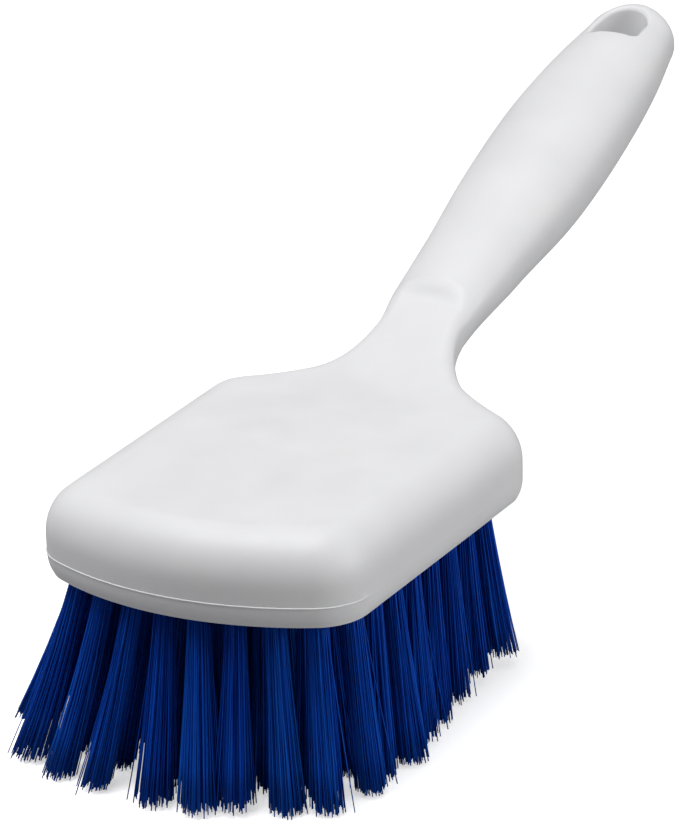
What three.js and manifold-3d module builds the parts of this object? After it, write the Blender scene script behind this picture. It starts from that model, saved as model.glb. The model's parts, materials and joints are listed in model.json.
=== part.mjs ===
// Hand brush: a one-piece moulded body of block, neck and oval grip, and a field of bristle tufts that
// wire anchors hold in the underside of the block.
// Millimetres. +Z is up, +Y runs from the block to the end of the grip, and X is across.
// The brush stands on its bristle tips, and the origin lies there under the middle of its box.

import * as THREE from 'three';
import { mergeVertices } from 'three/addons/utils/BufferGeometryUtils.js';
import loadManifold from 'manifold-3d';

const wasm = await loadManifold();
wasm.setup();

// Block in plan. A distance called At is measured along the brush from the front of the block.
const shoulderWidth = 80.8;
const shoulderAt = 92.5; // corner between the sides and the sweep to the neck, before it is rounded
const shoulderRadius = 12;
const sideTaper = THREE.MathUtils.degToRad(2.2); // each side closes in by this towards the front
const frontSlope = THREE.MathUtils.degToRad(26); // of the bowed front edge where it meets the corner
const frontCornerRadius = 10.6;

// Block in section, from its flat top down
const blockThickness = 19.2;
const blockEdgeRadius = 10.2; // of the rounded top edge
const partingDepth = 14.3; // from the top to the mould's parting line, where the block is widest
const undersideInset = 1.9; // the rim closes in by this below the parting line
const flashHeight = 0.2; // of the thin ridge that the mould leaves on the parting line
const flashWidth = 0.5; // from its crest to either foot

// Neck
const neckWidth = 18;
const sweepLength = 17.7; // from the shoulders to the narrowest place
const neckLength = 20; // and from there to the grip
const neckSweepRadius = 21;
const neckThickness = 12.2;
const neckEdgeRadius = 2.2;
const neckPartingDepth = 6.5;
const neckUndersideInset = 8;
const neckBlend = 24; // length over which the block's section turns into the neck's
const neckEndWidth = 22.4; // where it has widened to meet the grip
const neckEndRadius = 12; // of the corner from there to its root
const neckRootWidth = 17;
const neckMeeting = 5; // how far past the grip's start the neck stops widening
const neckOverlap = 16; // how far the neck's root runs into the grip

// Rise of neck and grip above the block's top
const riseLead = 2.5; // the rise starts this far before the shoulders
const riseBlend = 22.5; // length over which the level top bends up to the full slope
const riseAngle = THREE.MathUtils.degToRad(19.2);
const neckLift = 3.3; // the neck climbs this much more than the grip's slope
const neckLiftLead = 6; // from this far past the shoulders to the grip

// Grip
const gripLength = 129.7;
const gripSquareness = 2.16; // exponent of the oval section: 2 is an ellipse
const gripNose = 3.5; // length of the rounded step where the grip starts
const gripEnd = 10; // length of the rounded end
const gripBluntness = 0.4; // the ends stay full in height while they close: 1 is a plain round
// Sections of the grip: share of the length before the end, width, height above and depth below the rise
const gripSections = [
  { share: 0, width: 21.8, above: 1.2, below: 13.2 },
  { share: 0.14, width: 26.1, above: 3.2, below: 15.4 },
  { share: 0.4, width: 31.8, above: 4.5, below: 19.4 },
  { share: 0.66, width: 32.5, above: 4.4, below: 20 },
  { share: 0.875, width: 28.9, above: 2.2, below: 19.5 },
  { share: 1, width: 24.8, above: 0.3, below: 18.3 },
];

// D-shaped hanging hole, straight through the grip with its flat side towards the block
const holeWidth = 12.8;
const holeLength = 12.6;
const holeEndWeb = 4.6; // from the round side of the hole to the end of the grip's axis
const holeCornerRadius = 2;

// Bristles
const bristleLength = 42; // from the underside of the block to the longest tips
const tipsTrim = 0.5; // the longest tips are cut level by this
const tipsRagged = 3; // most that a tip falls short
const tuftCounts = [8, 6, 6, 6, 6, 6, 6, 6, 5]; // tufts in each row, front to rear
const rowBands = [2, 2, 2, 3]; // rows that share one slice of the block, front to rear
const bandNames = ['front', 'mid_front', 'mid_rear', 'rear'];
const tuftDiameter = 4.4; // at the underside of the block
const tuftEdge = 4.5; // from the middle of an outer tuft to the edge of the underside
const frontRowInset = 12.4; // from the front row's outer tufts in to the line of the shoulders
const rearRowMargin = 17.7; // the same for the rear row
const rearRowInset = 6.5; // from the rear row to the shoulders
const bowedRows = 5; // rows that still follow the bow of the front edge, less and less
const tipSpread = 1.36; // the field of tips is this much wider than the field of roots
const strandsAround = 7; // in each tuft, round one in the middle
const strandRing = 1.6; // radius on which they stand at the root
const tuftTipGap = 0.8; // between neighbours of the front row at the tips, where the tufts open
const strandRadius = 0.55; // of a strand at the root
const strandRadiusTip = 1.1; // and at its tip, where its filaments part
const strandSides = 3;
const strandRoot = 1; // how far a strand runs into its slice

// Slice of the block that carries the bristles, let into the underside
const sliceThickness = 5;
const sliceMargin = 0.6; // from the outer tufts to the edge of the slice
const clearance = 0.3;

// Anchor: a short flat wire across the fold of each tuft
const anchorLength = 5.6;
const anchorHeight = 1.8;
const anchorThickness = 0.4;
const anchorChamfer = 0.5;

// Fineness of the facets
const arcStep = THREE.MathUtils.degToRad(9);
const edgeSteps = 5;
const footSteps = 3;
const ovalPoints = 28;
const gripSteps = 16;
const endSteps = 6;
const noseSteps = 3;
const curveSegments = 12;
const samePoint = 1e-4;
const beyond = 20; // how far a cutting shape reaches past what it cuts
const rowsBeyond = 4; // and how many rows, where it bounds the first and the last slice

// Places that follow from these sizes
const topHeight = bristleLength + blockThickness;
const undersideHeight = bristleLength;
const riseAt = shoulderAt - riseLead;
const neckAt = shoulderAt + sweepLength;
const gripAt = neckAt + neckLength;
const rearRowAt = shoulderAt - rearRowInset;
const frontRowSpan = shoulderWidth - 2 * frontRowInset;
const rearRowSpan = shoulderWidth - 2 * rearRowMargin;
const tipPitch = tipSpread * frontRowSpan / (tuftCounts[0] - 1);
const strandRingTip = (tipPitch - tuftTipGap) / 2 - strandRadiusTip;

// Materials
const bodyPlastic = new THREE.MeshStandardMaterial({ color: 0xe9e9ea, roughness: 0.5, metalness: 0 });
const bristleFilament = new THREE.MeshStandardMaterial({ color: 0x0a2f7a, roughness: 0.42, metalness: 0 });
const anchorWire = new THREE.MeshStandardMaterial({ color: 0xc2c5c8, roughness: 0.35, metalness: 1 });

// Geometry helpers

// Closed surface from faces of three or four points, each face counter-clockwise seen from outside
function surface(faces) {
  const corners = [];
  for (const [a, b, c, d] of faces) {
    corners.push(a, b, c);
    if (d) {
      corners.push(a, c, d);
    }
  }
  return new THREE.BufferGeometry().setFromPoints(corners);
}

// Faces between neighbouring closed loops that all have the same number of points
function skin(loops) {
  const faces = [];
  for (let row = 0; row + 1 < loops.length; row++) {
    const upper = loops[row];
    const lower = loops[row + 1];
    upper.forEach((point, i) => {
      const next = (i + 1) % upper.length;
      faces.push([point, lower[i], lower[next], upper[next]]);
    });
  }
  return faces;
}

function toSolid(geometry) {
  const bare = geometry.clone();
  bare.deleteAttribute('normal');
  bare.deleteAttribute('uv');
  const merged = mergeVertices(bare, samePoint);
  const triangles = [];
  for (let i = 0; i < merged.index.count; i += 3) {
    const [a, b, c] = [0, 1, 2].map((corner) => merged.index.getX(i + corner));
    if (a !== b && b !== c && c !== a) {
      triangles.push(a, b, c);
    }
  }
  return new wasm.Manifold(new wasm.Mesh({
    numProp: 3,
    vertProperties: merged.attributes.position.array,
    triVerts: Uint32Array.from(triangles),
  }));
}

function toMesh(name, solid, material) {
  const mesh = solid.getMesh();
  const geometry = new THREE.BufferGeometry();
  geometry.setAttribute('position', new THREE.BufferAttribute(mesh.vertProperties, mesh.numProp));
  geometry.setIndex(new THREE.BufferAttribute(mesh.triVerts, 1));
  geometry.computeVertexNormals();
  return named(name, geometry, material);
}

function named(name, geometry, material) {
  const mesh = new THREE.Mesh(geometry, material.clone());
  mesh.name = name;
  return mesh;
}

function prism(shape, low, high) {
  const depth = high - low;
  const geometry = new THREE.ExtrudeGeometry(shape, { depth, bevelEnabled: false, curveSegments });
  return geometry.translate(0, 0, low);
}

const leftOf = (direction) => new THREE.Vector2(-direction.y, direction.x);
const mirrored = (point) => new THREE.Vector3(-point.x, point.y, point.z);

// Stations along a line through corners, each corner rounded by its radius. A station has its point and
// the direction square to the line, to the left.
function roundedLine(corners) {
  const points = corners.map((corner) => new THREE.Vector2(corner.x, corner.y));
  const directions = points.slice(1).map((point, i) => point.clone().sub(points[i]).normalize());
  const stations = [{ point: points[0], inward: leftOf(directions[0]) }];
  const add = (point, inward) => {
    if (point.distanceTo(stations.at(-1).point) > samePoint) {
      stations.push({ point, inward });
    }
  };
  for (let i = 1; i + 1 < points.length; i++) {
    const { radius } = corners[i];
    const before = directions[i - 1];
    const turn = Math.atan2(before.cross(directions[i]), before.dot(directions[i]));
    const start = points[i].clone().addScaledVector(before, -radius * Math.tan(Math.abs(turn) / 2));
    const toCentre = Math.sign(turn) * radius;
    const centre = start.clone().addScaledVector(leftOf(before), toCentre);
    const steps = Math.ceil(Math.abs(turn) / arcStep);
    for (let step = 0; step <= steps; step++) {
      const inward = leftOf(before).rotateAround(new THREE.Vector2(), turn * step / steps);
      add(centre.clone().addScaledVector(inward, -toCentre), inward);
    }
  }
  add(points.at(-1), leftOf(directions.at(-1)));
  return stations;
}

// Value of one coordinate on a line of points, where the other coordinate first reaches the one given
function onLine(points, known, value, wanted) {
  const after = points.findIndex((point, i) => i > 0 && point[known] >= value);
  const [a, b] = [points[after - 1], points[after]];
  return THREE.MathUtils.mapLinear(value, a[known], b[known], a[wanted], b[wanted]);
}

// Height of the rise line above the level top of the block
function rise(along) {
  const past = Math.max(0, along - riseAt);
  const bent = Math.min(past, riseBlend);
  const lift = neckLift * THREE.MathUtils.smoothstep(along, shoulderAt + neckLiftLead, gripAt);
  return Math.tan(riseAngle) * (bent ** 2 / (2 * riseBlend) + past - bent) + lift;
}

// Block and neck

// Right half of the outline, from the middle of the front to the end of the neck inside the grip. The
// front is an arc that runs straight into the corner arc, so its reach follows from the width.
function halfOutline() {
  const cornerTurn = Math.PI / 2 - sideTaper - frontSlope;
  const cornerReach = frontCornerRadius * Math.tan(cornerTurn / 2);
  const taper = Math.tan(sideTaper);
  const [sin, cos] = [Math.sin(frontSlope), Math.cos(frontSlope)];
  const sideAtFront = shoulderWidth / 2 - shoulderAt * taper;
  const frontReach = (sideAtFront + cornerReach * (taper * sin - cos)) / (1 + cos - taper * sin);
  const edge = frontReach + cornerReach;
  return roundedLine([
    { x: 0, y: 0 },
    { x: frontReach, y: 0, radius: frontReach / Math.tan(frontSlope / 2) },
    { x: frontReach + edge * cos, y: edge * sin, radius: frontCornerRadius },
    { x: shoulderWidth / 2, y: shoulderAt, radius: shoulderRadius },
    { x: neckWidth / 2, y: neckAt, radius: neckSweepRadius },
    { x: neckEndWidth / 2, y: gripAt + neckMeeting, radius: neckEndRadius },
    { x: neckRootWidth / 2, y: gripAt + neckOverlap },
  ]);
}

const outline = halfOutline();

// The section at a station runs down from the flat top, round the edge, over the ridge on the parting line
// and in to the underside: straight on the block, and rounded on the neck.
function blockSection({ point, inward }) {
  const neck = THREE.MathUtils.smoothstep(point.y, shoulderAt, shoulderAt + neckBlend);
  const edge = THREE.MathUtils.lerp(blockEdgeRadius, neckEdgeRadius, neck);
  const profile = [];
  for (let step = 0; step <= edgeSteps; step++) {
    const angle = (step / edgeSteps) * Math.PI / 2;
    profile.push({ inset: edge * (1 - Math.sin(angle)), depth: edge * (1 - Math.cos(angle)) });
  }
  const parting = THREE.MathUtils.lerp(partingDepth, neckPartingDepth, neck);
  const foot = THREE.MathUtils.lerp(undersideInset, neckUndersideInset, neck);
  const flash = THREE.MathUtils.lerp(flashHeight, 0, neck);
  profile.push({ inset: 0, depth: parting - flashWidth }, { inset: -flash, depth: parting });
  const footTop = parting + flashWidth;
  const footDepth = THREE.MathUtils.lerp(blockThickness, neckThickness, neck) - footTop;
  for (let step = 0; step <= footSteps; step++) {
    const share = step / footSteps;
    const angle = share * Math.PI / 2;
    profile.push({
      inset: foot * THREE.MathUtils.lerp(share, 1 - Math.cos(angle), neck),
      depth: footTop + footDepth * THREE.MathUtils.lerp(share, Math.sin(angle), neck),
    });
  }
  return profile.map(({ inset, depth }) => {
    const { x, y } = point.clone().addScaledVector(inward, inset);
    return new THREE.Vector3(x, y, topHeight + rise(y) - depth);
  });
}

function blockSolid() {
  const sections = outline.map(blockSection);
  const loops = sections[0].map((_, level) => {
    const right = sections.map((section) => section[level]);
    return [...right, ...right.map(mirrored).reverse()];
  });
  const faces = skin(loops);
  const [top, underside] = [loops[0], loops.at(-1)];
  for (let i = 0; i + 1 < outline.length; i++) {
    const [across, acrossNext] = [top.length - 1 - i, top.length - 2 - i];
    faces.push([top[i], top[i + 1], top[acrossNext], top[across]]);
    faces.push([underside[across], underside[acrossNext], underside[i + 1], underside[i]]);
  }
  return toSolid(surface(faces));
}

// Grip

const gripForm = new THREE.CubicInterpolant(
  gripSections.map(({ share }) => share),
  gripSections.flatMap(({ width, above, below }) => [width / 2, above, below]),
  3, // values in each section
);

// Oval section that stands square to the rise line, shrunk about its middle by two factors
function ovalSection(along, widthFactor = 1, heightFactor = 1) {
  const share = THREE.MathUtils.clamp((along - gripAt) / (gripLength - gripEnd), 0, 1);
  const [halfWidth, above, below] = gripForm.evaluate(share);
  const middle = (above - below) / 2;
  const halfHeight = (above + below) / 2 * heightFactor;
  const place = (across, offset) => new THREE.Vector3(
    across,
    along - offset * Math.sin(riseAngle),
    topHeight + rise(along) + offset * Math.cos(riseAngle),
  );
  const rounded = (value) => Math.sign(value) * Math.abs(value) ** (2 / gripSquareness);
  const ring = [];
  for (let i = 0; i < ovalPoints; i++) {
    const angle = (i / ovalPoints) * 2 * Math.PI;
    const across = halfWidth * widthFactor * rounded(Math.cos(angle));
    ring.push(place(across, middle + halfHeight * rounded(Math.sin(angle))));
  }
  return { ring, centre: place(0, middle) };
}

function gripSolid() {
  const sections = [];
  for (let step = 1; step <= noseSteps; step++) {
    const angle = (step / (noseSteps + 1)) * Math.PI / 2;
    const full = Math.sin(angle) ** gripBluntness;
    sections.push(ovalSection(gripAt + gripNose * (1 - Math.cos(angle)), full, full));
  }
  const formLength = gripLength - gripEnd;
  for (let step = 0; step <= gripSteps; step++) {
    const from = gripAt + gripNose;
    sections.push(ovalSection(from + (formLength - gripNose) * step / gripSteps));
  }
  for (let step = 1; step < endSteps; step++) {
    const angle = (step / endSteps) * Math.PI / 2;
    const full = Math.cos(angle);
    const along = gripAt + formLength + gripEnd * Math.sin(angle);
    sections.push(ovalSection(along, full, full ** gripBluntness));
  }
  const faces = skin(sections.map(({ ring }) => ring));
  const start = ovalSection(gripAt).centre;
  const end = ovalSection(gripAt + gripLength).centre;
  const [first, last] = [sections[0].ring, sections.at(-1).ring];
  first.forEach((point, i) => {
    const next = (i + 1) % ovalPoints;
    faces.push([start, point, first[next]]);
    faces.push([end, last[next], last[i]]);
  });
  return toSolid(surface(faces));
}

function hangingHole() {
  const half = holeWidth / 2;
  const roundAt = gripAt + gripLength - holeEndWeb - half;
  const flatAt = roundAt + half - holeLength;
  const corner = half - holeCornerRadius;
  const shape = new THREE.Shape();
  shape.moveTo(-corner, flatAt);
  shape.lineTo(corner, flatAt);
  shape.absarc(corner, flatAt + holeCornerRadius, holeCornerRadius, -Math.PI / 2, 0);
  shape.absarc(0, roundAt, half, 0, Math.PI);
  shape.absarc(-corner, flatAt + holeCornerRadius, holeCornerRadius, Math.PI, 1.5 * Math.PI);
  return toSolid(prism(shape, 0, topHeight + rise(gripAt + gripLength) + beyond));
}

// Bristle field

// Right half of the outline of the underside, moved in by a distance
function undersideEdge(distance) {
  const inset = undersideInset + distance;
  return outline.map(({ point, inward }) => point.clone().addScaledVector(inward, inset));
}

const tuftLine = undersideEdge(tuftEdge);
const frontRowAt = tuftLine[0].y;
const rowPitch = (rearRowAt - frontRowAt) / (tuftCounts.length - 1);

// Distance of a row from the front, at a place across the brush: whole numbers are rows of tufts, and
// numbers between them are the lines where the slices part
function rowAt(row, across) {
  const reach = Math.min(Math.abs(across), frontRowSpan / 2);
  const bow = onLine(tuftLine, 'x', reach, 'y') - frontRowAt;
  return frontRowAt + row * rowPitch + bow * Math.max(0, 1 - row / bowedRows);
}

function rowSpan(row) {
  if (row === 0) {
    return frontRowSpan;
  }
  if (row === tuftCounts.length - 1) {
    return rearRowSpan;
  }
  return 2 * onLine(tuftLine, 'y', rowAt(row, frontRowSpan / 2), 'x');
}

// Roots of a row's tufts on the underside
function rowOfTufts(row) {
  const count = tuftCounts[row];
  return Array.from({ length: count }, (_, column) => {
    const across = rowSpan(row) * (column / (count - 1) - 0.5);
    return { row, column, root: new THREE.Vector2(across, rowAt(row, across)) };
  });
}

const fieldMiddle = new THREE.Vector2(0, (frontRowAt + rearRowAt) / 2);

// Where the middle line of a tuft passes at a height: the drilled holes lean outwards from the middle
function tuftAxis(root, height) {
  const fall = (undersideHeight - height) / bristleLength;
  return root.clone().sub(fieldMiddle).multiplyScalar(1 + (tipSpread - 1) * fall).add(fieldMiddle);
}

// One strand, from inside its slice to its tip, in the direction of an angle from the tuft's middle line
function strand(root, share, angle, tipHeight, twist) {
  const section = (height) => {
    const fall = (undersideHeight - height) / bristleLength;
    const ring = share * THREE.MathUtils.lerp(strandRing, strandRingTip, fall);
    const radius = THREE.MathUtils.lerp(strandRadius, strandRadiusTip, fall);
    const axis = tuftAxis(root, height);
    return Array.from({ length: strandSides }, (_, side) => {
      const corner = twist + (side / strandSides) * 2 * Math.PI;
      return new THREE.Vector3(
        axis.x + ring * Math.cos(angle) + radius * Math.cos(corner),
        axis.y + ring * Math.sin(angle) + radius * Math.sin(corner),
        height,
      );
    });
  };
  const top = section(undersideHeight + strandRoot);
  const tip = section(tipHeight);
  return toSolid(surface([...skin([top, tip]), top, [...tip].reverse()]));
}

// Strands of one tuft. The left half of the field mirrors the right half.
function tuftStrands({ row, column, root }) {
  const { seededRandom } = THREE.MathUtils;
  const fromSide = Math.min(column, tuftCounts[row] - 1 - column);
  const flip = root.x < 0 ? Math.PI : 0;
  const facing = (angle) => flip + (flip ? -angle : angle);
  seededRandom(1 + row * tuftCounts[0] + fromSide);
  const turned = seededRandom() * 2 * Math.PI;
  return Array.from({ length: strandsAround + 1 }, (_, i) => {
    const angle = turned + (i / strandsAround) * 2 * Math.PI;
    const tipHeight = Math.max(0, seededRandom() * (tipsRagged + tipsTrim) - tipsTrim);
    const twist = seededRandom() * 2 * Math.PI;
    return strand(root, i === strandsAround ? 0 : 1, facing(angle), tipHeight, facing(twist));
  });
}

const rimToSlice = tuftEdge - tuftDiameter / 2 - sliceMargin;
const sliceRearAt = rearRowAt + tuftDiameter / 2 + sliceMargin;

// Outline of the bristle field, at a distance inside the edge of the underside
function fieldShape(distance, rearAt) {
  const edge = undersideEdge(distance);
  const right = edge.slice(0, edge.findIndex(({ y }) => y >= rearAt));
  right.push(new THREE.Vector2(onLine(edge, 'y', rearAt, 'x'), rearAt));
  const left = right.slice(1).map(({ x, y }) => new THREE.Vector2(-x, y)).reverse();
  return new THREE.Shape([...right, ...left]);
}

// Shape between two rows' lines, wide enough to cross the whole block
function bandShape(fromRow, toRow) {
  const half = shoulderWidth / 2;
  const steps = 2 * curveSegments;
  const line = (row, offset) => Array.from({ length: steps + 1 }, (_, i) => {
    const across = half * (2 * i / steps - 1);
    return new THREE.Vector2(across, rowAt(row, across) + offset);
  });
  return new THREE.Shape([...line(fromRow, clearance / 2), ...line(toRow, -clearance / 2).reverse()]);
}

const recessHeight = undersideHeight + sliceThickness + clearance;
const sliceHeight = undersideHeight + sliceThickness;

function recess() {
  const shape = fieldShape(rimToSlice - clearance, sliceRearAt + clearance);
  return toSolid(prism(shape, undersideHeight - beyond, recessHeight));
}

// Middle of a tuft's anchor, which lies at the top of the slice
function anchorPlace({ root }) {
  const height = sliceHeight - anchorHeight / 2;
  const { x, y } = tuftAxis(root, height);
  return new THREE.Vector3(x, y, height);
}

function anchorSlot(tuft) {
  const slot = new THREE.BoxGeometry(
    anchorThickness + 2 * clearance,
    anchorLength + 2 * clearance,
    anchorHeight + 2 * clearance,
  );
  return toSolid(slot.translate(...anchorPlace(tuft)));
}

// One slice of the block with the strands that it carries
function bristleSlice(fromRow, toRow, tufts) {
  const front = fromRow === 0 ? -rowsBeyond : fromRow - 0.5;
  const rear = toRow === tuftCounts.length - 1 ? toRow + rowsBeyond : toRow + 0.5;
  const field = toSolid(prism(fieldShape(rimToSlice, sliceRearAt), undersideHeight, sliceHeight));
  const band = toSolid(prism(bandShape(front, rear), undersideHeight - beyond, sliceHeight + beyond));
  const slice = field.intersect(band).subtract(wasm.Manifold.union(tufts.map(anchorSlot)));
  return wasm.Manifold.union([slice, ...tufts.flatMap(tuftStrands)]);
}

function anchorGeometry() {
  const [end, top] = [anchorLength / 2, anchorHeight / 2];
  const shape = new THREE.Shape([
    new THREE.Vector2(-end, -top),
    new THREE.Vector2(end, -top),
    new THREE.Vector2(end, top - anchorChamfer),
    new THREE.Vector2(end - anchorChamfer, top),
    new THREE.Vector2(anchorChamfer - end, top),
    new THREE.Vector2(-end, top - anchorChamfer),
  ]);
  const geometry = new THREE.ExtrudeGeometry(shape, { depth: anchorThickness, bevelEnabled: false });
  return geometry.translate(0, 0, -anchorThickness / 2);
}

// Assembly

const brush = new THREE.Group();
brush.name = 'hand_brush';

const body = blockSolid().add(gripSolid()).subtract(hangingHole()).subtract(recess());
brush.add(toMesh('brush_body', body, bodyPlastic));

let firstRow = 0;
rowBands.forEach((rows, band) => {
  const lastRow = firstRow + rows - 1;
  const tufts = tuftCounts.map((_, row) => rowOfTufts(row)).slice(firstRow, lastRow + 1).flat();
  const slice = bristleSlice(firstRow, lastRow, tufts);
  brush.add(toMesh(`bristles_${bandNames[band]}`, slice, bristleFilament));
  for (const tuft of tufts) {
    const anchor = named(`anchor_${tuft.row + 1}_${tuft.column + 1}`, anchorGeometry(), anchorWire);
    anchor.position.copy(anchorPlace(tuft));
    anchor.rotation.set(Math.PI / 2, 0, Math.PI / 2, 'ZYX'); // its length along the brush, on edge
    brush.add(anchor);
  }
  firstRow += rows;
});

const box = new THREE.Box3().setFromObject(brush);
brush.position.y = -(box.min.y + box.max.y) / 2;

export default brush;
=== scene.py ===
# %% [markdown]
# # A hand brush, finished around its CAD frame
#
# The brush is one white moulding (block, neck and grip) with tufts of blue filament in its underside.
# The CAD model gives the places and the main sizes. Here each piece is modelled again, with the
# surface, the filaments and the finish that the real one shows. All places are in the CAD frame,
# where Z is up and Y runs towards the grip. Shapes are drawn in millimetres from the front of the
# block and its flat top, and then placed in metres.

# %% Load the CAD frame
import json
import math
import random

import bmesh
import bpy
import numpy as np
from mathutils import Matrix, Vector


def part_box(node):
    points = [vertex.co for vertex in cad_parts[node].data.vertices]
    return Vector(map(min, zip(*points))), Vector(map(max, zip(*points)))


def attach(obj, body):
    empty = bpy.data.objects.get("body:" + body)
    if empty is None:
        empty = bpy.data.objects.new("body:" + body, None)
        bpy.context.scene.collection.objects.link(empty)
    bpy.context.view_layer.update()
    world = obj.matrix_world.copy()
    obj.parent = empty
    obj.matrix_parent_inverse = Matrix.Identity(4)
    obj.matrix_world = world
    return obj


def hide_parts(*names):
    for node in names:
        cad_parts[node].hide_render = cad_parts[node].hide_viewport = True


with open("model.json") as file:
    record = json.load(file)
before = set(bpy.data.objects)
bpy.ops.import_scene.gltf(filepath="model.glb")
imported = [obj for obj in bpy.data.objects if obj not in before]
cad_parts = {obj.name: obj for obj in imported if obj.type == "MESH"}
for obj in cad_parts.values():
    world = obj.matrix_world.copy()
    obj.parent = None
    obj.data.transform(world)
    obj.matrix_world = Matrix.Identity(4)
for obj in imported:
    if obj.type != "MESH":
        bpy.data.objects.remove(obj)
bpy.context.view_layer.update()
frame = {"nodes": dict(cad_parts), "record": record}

MM = 0.001
CAD_FLASH = 0.2
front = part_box("brush_body")[0].y / MM + CAD_FLASH
top = frame["record"]["mounts"][0]["pos_m"][2] / MM

# %% [markdown]
# ## A line with rounded corners
#
# The outline of the block is made of straight runs and arcs. It could be traced with a curve object,
# but each station on the line also has to know the direction square to it, which later carries the
# section of the rim. So a function walks along a line of corners, rounds each by its own radius, and
# sets down stations that are not more than a step apart.

# %% Round the corners of a line
STATION_STEP, TURN_STEP, SAME_PLACE = 1.8, math.radians(5), 0.01


def left_of(direction):
    return Vector((-direction.y, direction.x))


def rounded_line(corners):
    """Stations (point, direction to the left) along a line of corners (x, y, radius)."""
    places = [Vector(corner[:2]) for corner in corners]
    radii = [corner[2] for corner in corners]
    headings = [(b - a).normalized() for a, b in zip(places, places[1:])]
    stations = []

    def run_to(point, heading):
        start = stations[-1][0] if stations else places[0]
        count = max(1, math.ceil((point - start).length / STATION_STEP))
        for i in range(1 if stations else 0, count + 1):
            stations.append((start.lerp(point, i / count), left_of(heading)))

    for before, after, corner, radius in zip(headings, headings[1:], places[1:], radii[1:]):
        turn = math.atan2(before.cross(after), before.dot(after))
        start = corner - before * radius * math.tan(abs(turn) / 2)
        if not stations or (start - stations[-1][0]).length > SAME_PLACE:
            run_to(start, before)
        centre = start + left_of(before) * math.copysign(radius, turn)
        by_turn, by_length = abs(turn) / TURN_STEP, abs(turn) * radius / STATION_STEP
        count = max(math.ceil(by_turn), math.ceil(by_length))
        for i in range(1, count + 1):
            inward = left_of(before)
            inward.rotate(Matrix.Rotation(turn * i / count, 2))
            stations.append((centre - inward * math.copysign(radius, turn), inward))
    run_to(places[-1], headings[-1])
    return stations


trial = rounded_line([(0, 0, 0), (10, 0, 4), (10, 10, 0)])
print("a rounded square corner takes", len(trial), "stations")

# %% [markdown]
# ## Outline of the block
#
# Seen from above, the block has a bowed front, round corners, sides that spread a little towards the
# shoulders, and a hollow sweep to the neck. The brush is symmetric, so the right half is enough. The
# bow is one wide arc that runs straight into the arc of the front corner, so its size follows from
# the width of the block. Where the grip starts the surface changes quickly, and stations are set
# closer there.

# %% Lay out the half outline
BLOCK_WIDTH, SHOULDER_AT, SHOULDER_RADIUS = 81.2, 92.5, 12.0
SIDE_TAPER, FRONT_SLOPE, FRONT_RADIUS = math.radians(2.2), math.radians(25.5), 13.0
NECK_WIDTH, NECK_AT, SWEEP_RADIUS = 19.2, 110.2, 21.0
GRIP_AT, GRIP_LENGTH = 130.2, 129.7
NECK_END_WIDTH, NECK_END_AT = 24.0, GRIP_AT + 16.0
LIP_STATIONS, LIP_ZONE = 6, (GRIP_AT - 9, GRIP_AT + 4)


def half_outline():
    corner_reach = FRONT_RADIUS * math.tan((math.pi / 2 - SIDE_TAPER - FRONT_SLOPE) / 2)
    taper, sin, cos = math.tan(SIDE_TAPER), math.sin(FRONT_SLOPE), math.cos(FRONT_SLOPE)
    side = BLOCK_WIDTH / 2 - SHOULDER_AT * taper
    bow_reach = (side + corner_reach * (taper * sin - cos)) / (1 + cos - taper * sin)
    edge = bow_reach + corner_reach
    return rounded_line([
        (0, 0, 0),
        (bow_reach, 0, bow_reach / math.tan(FRONT_SLOPE / 2)),
        (bow_reach + edge * cos, edge * sin, FRONT_RADIUS),
        (BLOCK_WIDTH / 2, SHOULDER_AT, SHOULDER_RADIUS),
        (NECK_WIDTH / 2, NECK_AT, SWEEP_RADIUS),
        (NECK_END_WIDTH / 2, NECK_END_AT, 0),
    ])


def closer_at_lip(stations):
    """The same stations, with more between them where the grip starts."""
    closer = []
    for (a, inward), (b, _) in zip(stations, stations[1:]):
        count = LIP_STATIONS if LIP_ZONE[0] < a.y < LIP_ZONE[1] else 1
        closer += [(a.lerp(b, i / count), inward) for i in range(count)]
    return closer + stations[-1:]


outline = closer_at_lip(half_outline())
print(len(outline), "stations, widest", round(2 * max(point.x for point, _ in outline), 2), "mm")

# %% [markdown]
# ## Rise of the top
#
# The top of the block is flat. Behind the shoulders it turns upwards, and the grip runs on at a
# steady angle, which keeps the knuckles off the surface that is scrubbed. The height is a function of
# the distance from the front: level, then a parabola, then a straight slope, with a small extra lift
# of the neck. A finished straight body could be deformed instead, but then its sections would be
# squeezed.

# %% Raise the line of the top
RISE_AT, RISE_BLEND, RISE_ANGLE = 90.0, 22.5, math.radians(19.2)
NECK_LIFT, NECK_LIFT_AT = 3.3, SHOULDER_AT + 6.0


def smooth(value, low, high):
    """0 below low, 1 above high, and a soft step between them."""
    share = min(1.0, max(0.0, (value - low) / (high - low)))
    return share * share * (3 - 2 * share)


def rise(along):
    past = max(0.0, along - RISE_AT)
    curved = min(past, RISE_BLEND)
    slope = math.tan(RISE_ANGLE) * (curved ** 2 / (2 * RISE_BLEND) + past - curved)
    return slope + NECK_LIFT * smooth(along, NECK_LIFT_AT, GRIP_AT)


print("the grip starts", round(rise(GRIP_AT), 2), "mm over the top of the block")

# %% [markdown]
# ## Section of the block and the neck
#
# At each station the surface runs from the middle of the flat top, over the rounded edge, down to the
# mould's parting line with its thin flash, in to the underside and back to the middle. On the block
# the edge is wide and the foot turns in a little. On the neck the edge is tight and the underside is
# round, so each size is blended from the one to the other. One bevel could not change its width like
# that. The flash only shows round the front, so it fades along the sides.

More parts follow.
